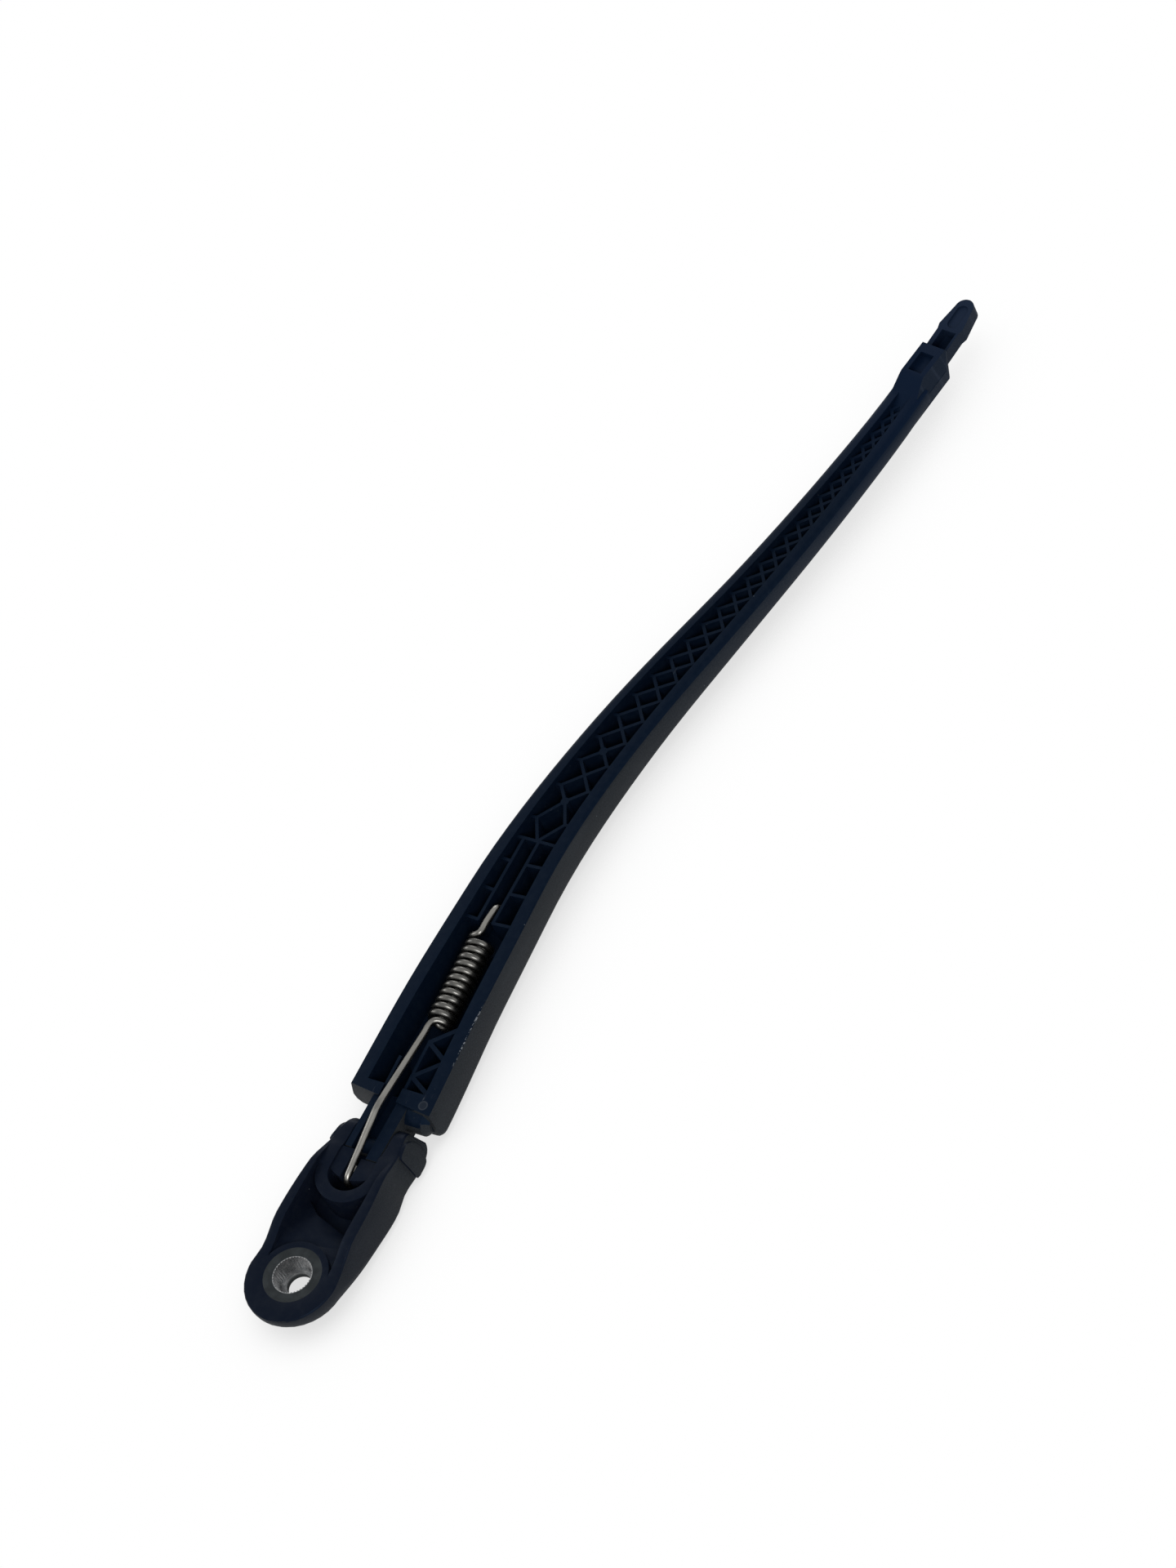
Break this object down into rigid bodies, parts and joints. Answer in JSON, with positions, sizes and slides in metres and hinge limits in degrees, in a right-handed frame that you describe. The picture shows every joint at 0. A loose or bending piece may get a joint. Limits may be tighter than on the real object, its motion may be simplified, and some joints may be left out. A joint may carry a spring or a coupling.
{
  "type": "rear wiper arm",
  "caption": "Rear wiper arm with a metal-lined spindle socket, a hinged ribbed channel, a tension spring and a latch tongue for the blade.",
  "frame": {"origin": "on the spindle axis, in the plane of the nut seat", "axes": "+Z along the spindle axis towards the glass side, where the spindle leaves the socket; +X along the head towards the blade end; +Y completes the right-handed frame"},
  "size_m": [0.4266, 0.0672, 0.02],
  "materials": {
    "head_plastic": "moulded black glass-filled plastic, fine grain",
    "insert_metal": "die-cast, dull, with bright serrations",
    "pin_steel": "plain steel",
    "arm_plastic": "moulded black glass-filled plastic, fine grain outside, smooth inside",
    "spring_steel": "bright drawn spring wire"
  },
  "bodies": {
    "head_body": {"head": "head_plastic", "spline_insert": "insert_metal", "hinge_pin": "pin_steel"},
    "arm_body": {"arm_beam": "arm_plastic", "tension_spring": "spring_steel"}
  },
  "joints": [
    {"name": "arm_hinge", "type": "hinge", "parent": "head_body", "child": "arm_body", "pos_m": [0.052, 0, 0.0025], "axis": [0, 1, 0], "range_deg": [0, 60], "stiffness_Nm_per_rad": 0.5, "springref_deg": -45.84, "deforming": ["tension_spring"]}
  ]
}
